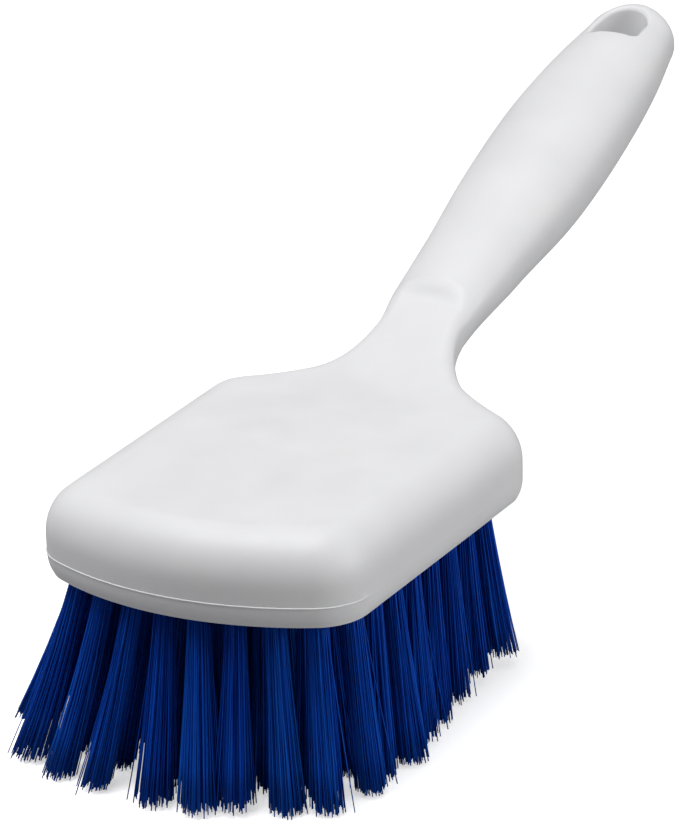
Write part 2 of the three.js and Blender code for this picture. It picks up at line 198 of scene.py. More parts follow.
# %% Draw the section at a station
BLOCK_THICKNESS, PARTING_DEPTH, FOOT_INSET, FOOT_ROUND = 19.2, 14.3, 0.9, 0.8
BLOCK_EDGE, BLOCK_DROP = 9.2, 10.6
NECK_THICKNESS, NECK_EDGE, NECK_PARTING = 12.2, 3.4, 6.5
NECK_FOOT, NECK_FOOT_ROUND, NECK_BLEND = 8.0, 0.2, 24.0
FOOT_TURN, FOOT_MIDWAY = math.radians(60), 0.3
FLASH_WIDTH, FLASH_SHOWN, FLASH_FADE = 0.2, 0.15, (0.0, 0.4)
COLUMNS, EDGE_STEPS, FOOT_STEPS = 6, 12, 6


def mix(a, b, share):
    return a + (b - a) * share


def rim_profile(neck, flash):
    """Steps of inset and depth from the flat top to the underside: neck 0 is the block, 1 the neck."""
    edge, drop = mix(BLOCK_EDGE, NECK_EDGE, neck), mix(BLOCK_DROP, NECK_EDGE, neck)
    parting = mix(PARTING_DEPTH, NECK_PARTING, neck)
    thickness = mix(BLOCK_THICKNESS, NECK_THICKNESS, neck)
    foot = mix(FOOT_INSET, NECK_FOOT, neck)
    foot_round = mix(FOOT_ROUND, NECK_FOOT_ROUND, neck)
    steps = []
    for i in range(EDGE_STEPS + 1):
        angle = i / EDGE_STEPS * math.pi / 2
        steps.append((edge * (1 - math.sin(angle)), drop * (1 - math.cos(angle))))
    steps.append((0, mix(steps[-1][1], parting, 0.5)))
    steps += [(0, parting - FLASH_WIDTH), (-flash, parting - FLASH_WIDTH / 3)]
    steps += [(-flash, parting + FLASH_WIDTH / 3), (0, parting + FLASH_WIDTH)]
    start, end = parting + FLASH_WIDTH, mix(FOOT_TURN, math.pi / 2, neck)
    for i in range(1, FOOT_STEPS + 1):
        angle = end * i / FOOT_STEPS
        closing = (1 - math.cos(angle)) / (1 - math.cos(end))
        falling = math.sin(angle) / math.sin(end)
        steps.append((foot * closing, mix(start, thickness - foot_round, falling)))
    midway = FOOT_MIDWAY * foot_round
    return steps + [(foot + midway, thickness - midway), (foot + foot_round, thickness)]


def block_section(point, inward):
    """Points of the right half, from the middle of the top round to the middle of the underside."""
    neck = smooth(point.y, SHOULDER_AT, SHOULDER_AT + NECK_BLEND)
    flash = FLASH_SHOWN * smooth(inward.y, *FLASH_FADE)
    rim = []
    for inset, depth in rim_profile(neck, flash):
        x, y = point + inward * inset
        rim.append(Vector((max(x, 0), y, rise(y) - depth)))
    first, last = rim[0], rim[-1]
    flat = [Vector((first.x * i / COLUMNS, first.y, first.z)) for i in range(COLUMNS)]
    under = [Vector((last.x * i / COLUMNS, last.y, last.z)) for i in range(COLUMNS)]
    return flat + rim + under[::-1]


print(len(block_section(*outline[0])), "points in a half section")

# %% [markdown]
# ## Section of the grip
#
# The grip is a squarish oval that swells in the middle to fill the palm. Its sections stand square to
# the rising axis. Six of them give the width and the heights over and under the axis, and a smooth
# curve runs through each row of sizes. A Screw modifier could not turn it, because it is neither
# round nor straight.

# %% Draw the oval of the grip
GRIP_END, SQUARENESS = 10.0, 2.16
GRIP_SHARES = (0, 0.14, 0.4, 0.66, 0.875, 1)
GRIP_WIDTHS = (24.6, 26.3, 31.8, 32.5, 28.9, 24.8)
GRIP_ABOVE = (2.3, 3.3, 4.5, 4.4, 2.2, 0.3)
GRIP_BELOW = (13.2, 15.4, 19.4, 20.0, 19.5, 18.3)


def flowing(share, values):
    """Smooth value through the grip's sections."""
    slopes = np.gradient(values, GRIP_SHARES)
    i = int(np.clip(np.searchsorted(GRIP_SHARES, share) - 1, 0, len(values) - 2))
    span = GRIP_SHARES[i + 1] - GRIP_SHARES[i]
    t = (share - GRIP_SHARES[i]) / span
    blend = t * t * (3 - 2 * t)
    bow = t * (1 - t) * span * ((1 - t) * slopes[i] - t * slopes[i + 1])
    return mix(values[i], values[i + 1], blend) + bow


def power(value, exponent):
    return math.copysign(abs(value) ** exponent, value)


def oval(along, angles, width_share=1.0, height_share=1.0):
    share = min(1.0, max(0.0, (along - GRIP_AT) / (GRIP_LENGTH - GRIP_END)))
    half = flowing(share, GRIP_WIDTHS) / 2 * width_share
    above, below = flowing(share, GRIP_ABOVE), flowing(share, GRIP_BELOW)
    middle, height = (above - below) / 2, (above + below) / 2 * height_share
    turn = 2 / SQUARENESS
    points = []
    for angle in angles:
        x = half * power(math.cos(angle), turn)
        offset = middle + height * power(math.sin(angle), turn)
        y = along - offset * math.sin(RISE_ANGLE)
        points.append(Vector((max(x, 0), y, rise(along) + offset * math.cos(RISE_ANGLE))))
    return points


print("the grip is", round(max(flowing(i / 100, GRIP_WIDTHS) for i in range(101)), 2), "mm wide")

# %% [markdown]
# ## Start of the grip on the neck
#
# Where the grip starts, its sides grow out of the neck over a long way, but its top stands up in a
# short arched lip with a fine bead along it. A Boolean union of neck and grip would leave a sharp
# seam all round. So the two sections are mixed point by point, fast on the top and slowly at the
# sides. For this, every point of the neck's section gets the angle on the oval that faces it, and
# further along the grip these angles even out.

# %% Join the grip to the neck
LIP_AT, LIP_LENGTH, LIP_ARCH, LIP_HALF = GRIP_AT + 0.5, 5.5, 0.9, 7.5
BEAD_HEIGHT, BEAD_WIDTH = 0.3, 0.6
SIDE_ABOVE, SIDE_BELOW = (GRIP_AT - 13, GRIP_AT + 1), (GRIP_AT - 8, GRIP_AT + 16)
TOP_BAND, SIDE_BAND = (0.6, 0.9), (-0.3, 0.3)
EVEN_AT = GRIP_AT + 36


def neck_angles():
    """Angles on the oval that face the points of the neck's section at the grip's start."""
    point, inward = min(outline, key=lambda station: abs(station[0].y - GRIP_AT))
    section = block_section(point, inward)
    middle = (section[0].z + section[-1].z) / 2
    half, height = max(p.x for p in section), (section[0].z - section[-1].z) / 2
    turn = SQUARENESS / 2
    return [math.atan2(power((p.z - middle) / height, turn), power(p.x / half, turn)) for p in section]


facing_neck = neck_angles()
even = [math.pi / 2 - math.pi * i / (len(facing_neck) - 1) for i in range(len(facing_neck))]


def grip_angles(along):
    share = smooth(along, GRIP_AT, EVEN_AT)
    return [mix(a, b, share) for a, b in zip(facing_neck, even)]


def joined_section(point, inward):
    """Section of block, neck or grip start at a station of the outline."""
    section = block_section(point, inward)
    if point.y < SIDE_ABOVE[0]:
        return section
    grip = oval(point.y, grip_angles(point.y))
    mixed = []
    for neck_point, angle, grip_point in zip(section, facing_neck, grip):
        lip = LIP_AT - LIP_ARCH * (neck_point.x / LIP_HALF) ** 2
        on_top = smooth(math.sin(angle), *TOP_BAND)
        cove = smooth(point.y, lip - LIP_LENGTH, lip)
        bead = BEAD_HEIGHT * on_top * math.exp(-((point.y - lip) / BEAD_WIDTH) ** 2)
        upper = smooth(math.sin(angle), *SIDE_BAND)
        slow = mix(smooth(point.y, *SIDE_BELOW), smooth(point.y, *SIDE_ABOVE), upper)
        mixed.append(neck_point.lerp(grip_point, mix(slow, cove, on_top)) + Vector((0, 0, bead)))
    return mixed


sections = [joined_section(*station) for station in outline]
print(len(sections), "sections from the front of the block to the start of the grip")

# %% [markdown]
# ## Length and end of the grip
#
# From its start on, the grip is the oval alone, drawn at even steps. The end is blunt: over its last
# centimetre the width closes along a quarter of a circle, and the height holds out longer. A rounded
# cap could be added as a piece of its own, but then a seam would show where it meets the oval.

# %% Carry the sections on to the end of the grip
GRIP_STEP, END_STEPS, BLUNTNESS = 2.4, 12, 0.4

form_end = GRIP_AT + GRIP_LENGTH - GRIP_END
count = math.ceil((form_end - NECK_END_AT) / GRIP_STEP)
for i in range(1, count + 1):
    along = mix(NECK_END_AT, form_end, i / count)
    sections.append(oval(along, grip_angles(along)))
for i in range(1, END_STEPS + 1):
    angle = i / END_STEPS * math.pi / 2
    full = max(0.0, math.cos(angle))
    height = full ** BLUNTNESS if i < END_STEPS else 0.0
    sections.append(oval(form_end + GRIP_END * math.sin(angle), even, full, height))
print(len(sections), "sections from the front of the block to the end of the grip")

# %% [markdown]
# ## The moulding
#
# The body is extruded as a sheet round its right half: a strip holds the first two sections, and its
# rear edge is extruded from section to section, all the way to the end of the grip. Bridging loops
# would also join the sections, but extruding keeps every point in its own column of the strip.

# %% Extrude the right half of the body


def placed(point):
    """A point of the sections, in metres in the CAD frame."""
    return Vector((point.x, point.y + front, point.z + top)) * MM


def extruded_body():
    bpy.ops.object.select_all(action="DESELECT")
    bpy.ops.mesh.primitive_grid_add(x_subdivisions=len(sections[0]) - 1, y_subdivisions=1, size=1)
    obj = bpy.context.object
    bpy.ops.object.mode_set(mode="EDIT")
    bpy.ops.mesh.select_mode(type="VERT")
    edit = bmesh.from_edit_mesh(obj.data)
    column = edit.verts.layers.int.new("column")
    edit.verts.ensure_lookup_table()
    ordered = sorted(edit.verts, key=lambda vertex: (vertex.co.y, vertex.co.x))
    for i, vertex in enumerate(ordered):
        row, vertex[column] = divmod(i, len(sections[0]))
        vertex.co = placed(sections[row][vertex[column]])
        vertex.select_set(row == 1)
    edit.select_flush_mode()
    bmesh.update_edit_mesh(obj.data)
    for section in sections[2:]:
        bpy.ops.mesh.extrude_edges_move()
        edit = bmesh.from_edit_mesh(obj.data)
        column = edit.verts.layers.int["column"]
        for vertex in edit.verts:
            if vertex.select:
                vertex.co = placed(section[vertex[column]])
        bmesh.update_edit_mesh(obj.data)
    bpy.ops.object.mode_set(mode="OBJECT")
    obj.data.attributes.remove(obj.data.attributes["column"])
    return obj


body = extruded_body()
body.name = body.data.name = "moulded_body"
print("right half", len(body.data.vertices), "corners,", len(body.data.polygons), "faces")

# %% [markdown]
# ## Both halves
#
# The mould is symmetric, so a Mirror modifier adds the left half and joins it at the middle. At the
# front and at the tip of the grip, several columns end in one place. These doubled corners are merged
# within a tiny distance only, because a larger one would collapse the narrow faces at the front of
# the flat top.

# %% Mirror the body and merge doubled corners
MIRROR_GAP, SAME_CORNER = 1e-5, 1e-6


def only(obj):
    """Makes one object active and selected, and nothing else."""
    bpy.ops.object.select_all(action="DESELECT")
    bpy.context.view_layer.objects.active = obj
    obj.select_set(True)


def apply_modifier(obj, kind, **settings):
    only(obj)
    bpy.ops.object.modifier_add(type=kind)
    modifier = obj.modifiers[-1]
    for key, value in settings.items():
        setattr(modifier, key, value)
    bpy.ops.object.modifier_apply(modifier=modifier.name)


def merge_doubles(obj):
    only(obj)
    bpy.ops.object.mode_set(mode="EDIT")
    bpy.ops.mesh.select_all(action="SELECT")
    bpy.ops.mesh.remove_doubles(threshold=SAME_CORNER)
    bpy.ops.mesh.dissolve_degenerate(threshold=SAME_CORNER)
    bpy.ops.mesh.normals_make_consistent(inside=False)
    bpy.ops.object.mode_set(mode="OBJECT")


apply_modifier(body, "MIRROR", use_axis=(True, False, False), merge_threshold=MIRROR_GAP)
merge_doubles(body)
print("body", len(body.data.vertices), "corners,", len(body.data.polygons), "faces")

# %% [markdown]
# ## Shape of the hanging hole
#
# The hole at the end of the grip takes a hook, a peg or a cord. It is a D: flat towards the block,
# with small corners, and round towards the end of the grip. Its outline is walked in fine steps, and
# points are picked at even distances, so that the cut gets faces of one size.

# %% Draw the hole's D
HOLE_WIDTH, HOLE_LENGTH, HOLE_END_WEB, HOLE_CORNER = 13.6, 14.6, 5.8, 2.0
HOLE_POINTS, FLAT_STEPS, ARC_STEPS = 72, 40, 60


def hole_outline():
    """Points of the D with the direction out of it, evenly spread."""
    half = HOLE_WIDTH / 2
    round_at = GRIP_AT + GRIP_LENGTH - HOLE_END_WEB - half
    flat_at = round_at + half - HOLE_LENGTH
    corner = half - HOLE_CORNER
    dense = []
    for i in range(FLAT_STEPS + 1):
        dense.append((Vector((mix(-corner, corner, i / FLAT_STEPS), flat_at)), Vector((0, -1))))
    for centre, radius, start, end in (
        (Vector((corner, flat_at + HOLE_CORNER)), HOLE_CORNER, -90, 0),
        (Vector((0, round_at)), half, 0, 180),
        (Vector((-corner, flat_at + HOLE_CORNER)), HOLE_CORNER, 180, 270),
    ):
        for i in range(1, ARC_STEPS + 1):
            angle = math.radians(mix(start, end, i / ARC_STEPS))
            out = Vector((math.cos(angle), math.sin(angle)))
            dense.append((centre + out * radius, out))
    lengths = np.cumsum([0] + [(b[0] - a[0]).length for a, b in zip(dense, dense[1:])])
    wanted = np.linspace(0, lengths[-1], HOLE_POINTS, endpoint=False)
    return [dense[int(np.searchsorted(lengths, length))] for length in wanted]


hole = hole_outline()
print("hole", len(hole), "points,", HOLE_WIDTH, "by", HOLE_LENGTH, "mm")

# %% [markdown]
# ## Core of the hanging hole
#
# In the mould a core leaves the hole, and its mouths are softly rounded. A bevel on the cut edge
# would fight with the small faces there, so the core itself opens like a trumpet just below the
# surface, which is measured by casting rays on the body. The widest ring stands a little proud of the
# surface, so that the two cross cleanly.

# %% Measure the grip and lay the rings of the core
MOUTH_RADIUS, MOUTH_STEPS, MOUTH_PROUD, MOUTH_BEYOND = 1.4, 6, 0.08, 4
RAY_START = 150


def surface_height(x, y, outwards):
    """Height of the grip's surface over (1) or under (-1) a place, in section millimetres."""
    start = placed(Vector((x, y, RAY_START * outwards)))
    hit, location, _, _ = body.ray_cast(start, Vector((0, 0, -outwards)))
    assert hit, (x, y)
    return location.z / MM - top


def mouth_rings(outwards):
    """Rings from inside the grip to beyond its surface."""
    rings = []
    for i in range(MOUTH_STEPS + 1):
        angle = i / MOUTH_STEPS * math.pi / 2
        depth = MOUTH_RADIUS * (1 - math.sin(angle)) - MOUTH_PROUD
        ring = []
        for point, out in hole:
            x, y = point + out * MOUTH_RADIUS * (1 - math.cos(angle))
            ring.append(Vector((x, y, surface_height(x, y, outwards) - outwards * depth)))
        rings.append(ring)
    return rings + [[point + Vector((0, 0, outwards * MOUTH_BEYOND)) for point in rings[-1]]]


core_rings = mouth_rings(-1)[::-1] + mouth_rings(1)
print(len(core_rings), "rings in the core")

# %% [markdown]
# ## Cutting the hanging hole
#
# The core is a disc that is extruded from ring to ring, up through the grip, and a Boolean takes it
# out of the body. The faces round the hole could be rebuilt by hand, but the exact solver does this
# well. It shows a bad cut only as missing faces, so the open edges are counted afterwards.

# %% Extrude the core and cut the hole


def extruded_rings(name, rings):
    """A closed tube through rings of points: a disc, extruded from ring to ring."""
    bpy.ops.object.select_all(action="DESELECT")
    bpy.ops.mesh.primitive_circle_add(vertices=len(rings[0]), fill_type="NGON")
    obj = bpy.context.object
    obj.name = name
    bpy.ops.object.mode_set(mode="EDIT")
    bpy.ops.mesh.select_mode(type="FACE")
    edit = bmesh.from_edit_mesh(obj.data)
    order = edit.verts.layers.int.new("order")
    for i, vertex in enumerate(edit.verts):
        vertex[order] = i
        vertex.co = placed(rings[0][i])
    bmesh.update_edit_mesh(obj.data)
    bpy.ops.mesh.select_all(action="SELECT")
    for ring in rings[1:]:
        bpy.ops.mesh.extrude_region_move()
        edit = bmesh.from_edit_mesh(obj.data)
        order = edit.verts.layers.int["order"]
        for vertex in edit.verts:
            if vertex.select:
                vertex.co = placed(ring[vertex[order]])
        bmesh.update_edit_mesh(obj.data)
    bpy.ops.mesh.select_all(action="SELECT")
    bpy.ops.mesh.normals_make_consistent(inside=False)
    bpy.ops.object.mode_set(mode="OBJECT")
    return obj


def cut(obj, cutter):
    apply_modifier(obj, "BOOLEAN", operation="DIFFERENCE", solver="EXACT", object=cutter)
    bpy.data.objects.remove(cutter)


def open_edges(obj):
    edit = bmesh.new()
    edit.from_mesh(obj.data)
    count = sum(not edge.is_manifold for edge in edit.edges)
    edit.free()
    return count


cut(body, extruded_rings("hole_core", core_rings))
print("after the hanging hole", len(body.data.polygons), "faces,", open_edges(body), "open edges")

# %% [markdown]
# ## Where the tufts stand
#
# The tufts stand in rows. The front row follows the bowed front edge, and the rows behind it
# straighten out. Each tuft sits in a drilled blind hole. The filling machine folds a bunch of
# filament over a wire and drives it into the hole, so at its root a tuft is as wide as its hole. An
# array of copies could not follow the bow, so every root is computed from the outline.

# %% Lay out the rows
TUFTS_IN_ROW = (8, 8, 8, 8, 8, 8, 8, 8, 8, 6)
ROWS_IN_PIECE = {"front": (0, 1), "mid_front": (2, 3), "mid_rear": (4, 5), "rear": (6, 7, 8, 9)}
TUFT_EDGE, FRONT_SPAN, REAR_SPAN, REAR_ROW_AT, BOWED_ROWS = 5.5, 56.0, 45.4, 88.0, 9

tuft_line = np.array([point + inward * (FOOT_INSET + TUFT_EDGE) for point, inward in outline])
front_row_at = tuft_line[0][1]
row_pitch = (REAR_ROW_AT - front_row_at) / (len(TUFTS_IN_ROW) - 1)
bow_end = int(np.argmax(tuft_line[:, 0] > FRONT_SPAN / 2)) + 1


def row_at(row, across):
    reach = min(abs(across), FRONT_SPAN / 2)
    bow = np.interp(reach, tuft_line[:bow_end, 0], tuft_line[:bow_end, 1]) - front_row_at
    return front_row_at + row * row_pitch + bow * max(0, 1 - row / BOWED_ROWS)


def row_span(row):
    if row == 0:
        return FRONT_SPAN
    if row == len(TUFTS_IN_ROW) - 1:
        return REAR_SPAN
    return 2 * float(np.interp(row_at(row, FRONT_SPAN / 2), tuft_line[:, 1], tuft_line[:, 0]))


def row_roots(row):
    count = TUFTS_IN_ROW[row]
    places = [row_span(row) * (i / (count - 1) - 0.5) for i in range(count)]
    return [Vector((x, row_at(row, x))) for x in places]


roots = [row_roots(row) for row in range(len(TUFTS_IN_ROW))]
print(sum(TUFTS_IN_ROW), "tufts, rows", round(row_pitch, 2), "mm apart")

# %% [markdown]
# ## Drilled holes
#
# Every tuft has its own blind hole in the underside. One drill is modelled as a cylinder with a small
# countersink where it leaves the plastic, copied to every root, and cut from the body in one go. A
# cut for each hole would do the same, but would take far longer.

# %% Drill a blind hole for every tuft
UNDERSIDE = -BLOCK_THICKNESS
HOLE_RADIUS, HOLE_DEPTH, COUNTERSINK = 2.6, 2.8, 0.25
DRILL_BELOW, DRILL_SIDES, SMOOTH_ANGLE = 3.0, 20, math.radians(35)


def level(height):
    """A point on the middle line, at a height of the sections."""
    return placed(Vector((0, 0, height)))


def countersunk_drill():
    bpy.ops.object.select_all(action="DESELECT")
    bpy.ops.mesh.primitive_cylinder_add(
        vertices=DRILL_SIDES, radius=HOLE_RADIUS * MM, depth=(HOLE_DEPTH + DRILL_BELOW) * MM,
        location=level(UNDERSIDE + (HOLE_DEPTH - DRILL_BELOW) / 2))
    bpy.ops.object.transform_apply(location=True, rotation=False, scale=False)
    drill = bpy.context.object
    bpy.ops.object.mode_set(mode="EDIT")
    for height in (UNDERSIDE, UNDERSIDE + COUNTERSINK):
        bpy.ops.mesh.select_all(action="SELECT")
        bpy.ops.mesh.bisect(plane_co=level(height), plane_no=(0, 0, 1))
    edit = bmesh.from_edit_mesh(drill.data)
    for vertex in edit.verts:
        vertex.select_set(vertex.co.z < level(UNDERSIDE).z + SAME_CORNER)
    edit.select_flush_mode()
    bmesh.update_edit_mesh(drill.data)
    wider = (HOLE_RADIUS + COUNTERSINK) / HOLE_RADIUS
    bpy.ops.transform.resize(value=(wider, wider, 1), center_override=level(UNDERSIDE))
    bpy.ops.object.mode_set(mode="OBJECT")
    return drill


def drill_field():
    drill = countersunk_drill()
    copies = []
    for root in (root for row in roots for root in row):
        copy = bpy.data.objects.new("drill", drill.data.copy())
        bpy.context.collection.objects.link(copy)
        copy.data.transform(Matrix.Translation(Vector((root.x, root.y, 0)) * MM))
        copies.append(copy)
    bpy.data.objects.remove(drill)
    only(copies[0])
    for copy in copies:
        copy.select_set(True)
    bpy.ops.object.join()
    return bpy.context.object


cut(body, drill_field())
merge_doubles(body)
only(body)
bpy.ops.object.shade_smooth_by_angle(angle=SMOOTH_ANGLE)
print("after drilling", len(body.data.polygons), "faces,", open_edges(body), "open edges")

# %% [markdown]
# ## One filament
#
# A tuft is a bunch of stiff round filaments. A hair system could grow them, but then each would need
# turning into a mesh. One filament is modelled instead, as a slim three-sided rod with four joints in
# its length, and every copy is laid along its own line. Three sides are enough for a filament that is
# hardly wider than a pixel.

# %% Model one filament
FILAMENT_JOINTS, FILAMENT_SIDES = 4, 3


def filament_rod():
    """A rod of unit height and unit radius: its corners and its faces."""
    bpy.ops.object.select_all(action="DESELECT")
    bpy.ops.mesh.primitive_cylinder_add(
        vertices=FILAMENT_SIDES, radius=1, depth=1, location=(0, 0, 0.5))
    rod = bpy.context.object
    bpy.ops.object.transform_apply(location=True, rotation=False, scale=False)
    bpy.ops.object.mode_set(mode="EDIT")
    for i in range(1, FILAMENT_JOINTS + 1):
        bpy.ops.mesh.select_all(action="SELECT")
        bpy.ops.mesh.bisect(plane_co=(0, 0, i / (FILAMENT_JOINTS + 1)), plane_no=(0, 0, 1))
    bpy.ops.object.mode_set(mode="OBJECT")
    corners = np.array([vertex.co for vertex in rod.data.vertices])
    faces = [list(face.vertices) for face in rod.data.polygons]
    bpy.data.objects.remove(rod)
    return corners, faces


rod_corners, rod_faces = filament_rod()
print("one filament", len(rod_corners), "corners,", len(rod_faces), "faces")

# %% [markdown]
# ## How the tufts lean
#
# On the photographed brush the bristles are splayed by use: the left side leans far out, the front
# leans forward, the right side hardly leans, and the rear leans back. Each tuft could be given its
# own angle by hand, but neighbours have to follow each other. So the lean is a smooth field over the
# underside, in millimetres from root to tip, with soft steps where one part of the brush passes into
# the next.

# %% Set the field of the lean
FIELD_MIDDLE = 58.0
FAN, FAN_AT, FAN_WIDTH, FAN_SHIFT = 6.0, -9.0, 10.0, 4.4
LEFT_PUSH, LEFT_BAND, LEFT_EASE, LEFT_EASE_BAND = 7.0, (27, 34), 0.6, (-10, 25)
RIGHT_BAND = (10, 30)
RIGHT_OUT, RIGHT_OUT_BAND, RIGHT_IN, RIGHT_IN_BAND = 2.0, (-35, -15), 5.6, (-18, 14)
UPRIGHT_AT, FORWARD_RATE, BACK_RATE = -8.0, 0.21, 0.37
FORWARD_EASE, FORWARD_EASE_BAND = 0.78, (-2, 28)


def lean(root):
    """Shift from root to tip: a fan, pushed out at the left edge and drawn in at the right rear."""
    x, y = root.x, root.y - FIELD_MIDDLE
    sideways = FAN * math.tanh((x - FAN_AT) / FAN_WIDTH) - FAN_SHIFT
    sideways -= LEFT_PUSH * smooth(-x, *LEFT_BAND) * (1 - LEFT_EASE * smooth(y, *LEFT_EASE_BAND))
    outwards = RIGHT_OUT * smooth(y, *RIGHT_OUT_BAND) - RIGHT_IN * smooth(y, *RIGHT_IN_BAND)
    sideways += smooth(x, *RIGHT_BAND) * outwards
    behind = y - UPRIGHT_AT
    forward = FORWARD_RATE * behind * (1 - FORWARD_EASE * smooth(x, *FORWARD_EASE_BAND))
    return Vector((sideways, forward if behind < 0 else BACK_RATE * behind))


leans = [lean(root) for row in roots for root in row]
for axis, name in enumerate(("sideways", "along the brush")):
    values = [round(tilt[axis], 1) for tilt in leans]
    print("lean", name, min(values), "to", max(values), "mm")

# %% [markdown]
# ## Lines of a tuft
#
# The filaments leave the hole side by side and open towards tips that were once cut level and are
# ragged now. Tips that lean far out end a little higher. Random places would leave gaps and clumps in
# the hole, so the roots are spread by the golden angle, as the seeds in a sunflower are. Each tuft
# and each filament then gets small differences in lean, length and tone, and a few filaments stray or
# are broken off. The draws are seeded with the name of the piece, so the brush comes out the same
# each time.

# %% Draw the lines of a tuft
FILAMENTS, ROOT_RADIUS, TIP_OPENING, GOLDEN_ANGLE = 170, 2.15, 1.9, 2.399963
TUFT_TILT, OPENING_SHARES, TUFT_LEVELS = (1.3, 0.8), (0.75, 1.1), (0.0, 1.6)
BACK_LIFT, LEFT_LIFT, LEFT_LIFT_AT = 60, 10, 11
STRAY_SHARE, STRAY_WANDER, WANDER, PLACE_JITTER, TWIST = 0.035, 1.6, 0.5, 0.2, 6.28
RAGGED, BROKEN_SHARE, BROKEN_LENGTH = 0.9, 0.06, 4
MIDDLE_TONE, TUFT_TONE, FILAMENT_TONE = 0.5, 0.12, 0.13


def tuft_lines(root, draw):
    """Root, shift to the tip, height of the tip, twist and tone of a tuft's filaments."""
    tilt = lean(root) + Vector((draw.gauss(0, TUFT_TILT[0]), draw.gauss(0, TUFT_TILT[1])))
    opening = TIP_OPENING * draw.uniform(*OPENING_SHARES)
    lift = max(0, tilt.y) ** 2 / BACK_LIFT
    tip_level = draw.uniform(*TUFT_LEVELS) + lift + max(0, -tilt.x - LEFT_LIFT_AT) ** 2 / LEFT_LIFT
    tuft_tone = draw.uniform(-TUFT_TONE, TUFT_TONE)
    for i in range(FILAMENTS):
        reach = math.sqrt((i + 0.5) / FILAMENTS) * ROOT_RADIUS
        turn = i * GOLDEN_ANGLE + draw.uniform(-PLACE_JITTER, PLACE_JITTER)
        offset = Vector((math.cos(turn), math.sin(turn))) * reach
        wander = STRAY_WANDER if draw.random() < STRAY_SHARE else WANDER
        spread = offset * (opening - 1) + Vector((draw.gauss(0, wander), draw.gauss(0, wander)))
        short = abs(draw.gauss(0, RAGGED))
        short += draw.uniform(0, BROKEN_LENGTH) if draw.random() < BROKEN_SHARE else 0
        tone = min(1, max(0, MIDDLE_TONE + tuft_tone + draw.gauss(0, FILAMENT_TONE)))
        yield root + offset, tilt + spread, tip_level + short, draw.uniform(0, TWIST), tone


print(sum(TUFTS_IN_ROW) * FILAMENTS, "filaments to lay")

# %% [markdown]
# ## The tufts
#
# Every filament starts in its hole and bows outwards a little on its way to the tip. The rod is laid
# along each line with array arithmetic, because thousands of copied objects would be slow to join.
# Each filament keeps its tone and the distance from its root as attributes, for the material.

# %% Lay every filament of a tuft
FILAMENT_RADIUS, BRISTLE_LENGTH, ROOT_DEPTH = 0.15, 42.0, 2.2
STRAIGHT, BOWED, FILAMENT_SMOOTH = 0.82, 0.18, math.radians(130)
rod_sides, rod_along = rod_corners[:, :2], rod_corners[:, 2]


def laid_filament(start, shift, tip, turn):
    """Corners of the rod along one line, in metres in the CAD frame."""
    depth = mix(UNDERSIDE + ROOT_DEPTH, UNDERSIDE - BRISTLE_LENGTH + tip, rod_along)
    fall = (UNDERSIDE - depth) / BRISTLE_LENGTH
    curve = fall * (STRAIGHT + BOWED * fall)
    cos, sin = math.cos(turn), math.sin(turn)
    across, lengthways = rod_sides[:, 0], rod_sides[:, 1]
    x = start.x + shift.x * curve + FILAMENT_RADIUS * (across * cos - lengthways * sin)
    y = start.y + shift.y * curve + FILAMENT_RADIUS * (across * sin + lengthways * cos)
    return np.column_stack([x, y + front, depth + top]) * MM


def tuft_mesh(name, rows):
    draw = random.Random(name)
    corners, tones, faces = [], [], []
    for root in (root for row in rows for root in roots[row]):
        for start, shift, tip, turn, tone in tuft_lines(root, draw):
            base = len(corners) * len(rod_corners)
            corners.append(laid_filament(start, shift, tip, turn))
            tones.append(np.full(len(rod_corners), tone))
            faces += [[base + i for i in reversed(face)] for face in rod_faces]
    mesh = bpy.data.meshes.new(name)
    mesh.from_pydata(np.concatenate(corners).tolist(), [], faces)
    alongs = np.tile(rod_along, len(corners))
    for attribute, values in (("tone", np.concatenate(tones)), ("along", alongs)):
        mesh.attributes.new(attribute, "FLOAT", "POINT").data.foreach_set("value", values)
    obj = bpy.data.objects.new(name, mesh)
    bpy.context.collection.objects.link(obj)
    only(obj)
    bpy.ops.object.shade_smooth_by_angle(angle=FILAMENT_SMOOTH)
    print(name, len(corners), "filaments,", len(faces), "faces")
    return obj


tufts = {piece: tuft_mesh("tufts_" + piece, rows) for piece, rows in ROWS_IN_PIECE.items()}

# %% [markdown]
# ## White moulded plastic
#
# The body is satin polypropylene. Up close it has a very fine moulded grain, soft differences in
# gloss where it has been handled, and a faintly cool white. A plain white would look like paper, so
# noise at three sizes moves the colour, the roughness and the surface by small amounts. The noise
# lies in the object's own coordinates, so the finish stays put in every view. Short functions add the
# nodes that come back in the other materials.

# %% Mix the body's plastic
WHITE_STOPS = ((0.3, (0.80, 0.80, 0.82)), (0.7, (0.84, 0.84, 0.85)))
CLOUD_SCALE, HANDLED_SCALE, GRAIN_SCALE = 45, 120, 2600
SATIN, HANDLED_RANGE = (0.42, 0.56), (0.3, 0.7)
GRAIN_STRENGTH, GRAIN_HEIGHT, PLASTIC_IOR = 0.12, 0.0002, 1.49


def material(name):
    made = bpy.data.materials.new(name)
    made.use_nodes = True
    return made, made.node_tree, made.node_tree.nodes["Principled BSDF"]


def object_place(tree):
    return tree.nodes.new("ShaderNodeTexCoord").outputs["Object"]


def noise(tree, source, scale, detail=2):
    node = tree.nodes.new("ShaderNodeTexNoise")
    node.inputs["Scale"].default_value = scale
    node.inputs["Detail"].default_value = detail
    tree.links.new(source, node.inputs["Vector"])
    return node.outputs["Fac"]


def ramp(tree, source, results, sources=(0.0, 1.0)):
    """A value that runs through the results while the source runs through its own range."""
    node = tree.nodes.new("ShaderNodeMapRange")
    node.inputs["From Min"].default_value, node.inputs["From Max"].default_value = sources
    node.inputs["To Min"].default_value, node.inputs["To Max"].default_value = results
    tree.links.new(source, node.inputs["Value"])
    return node.outputs["Result"]


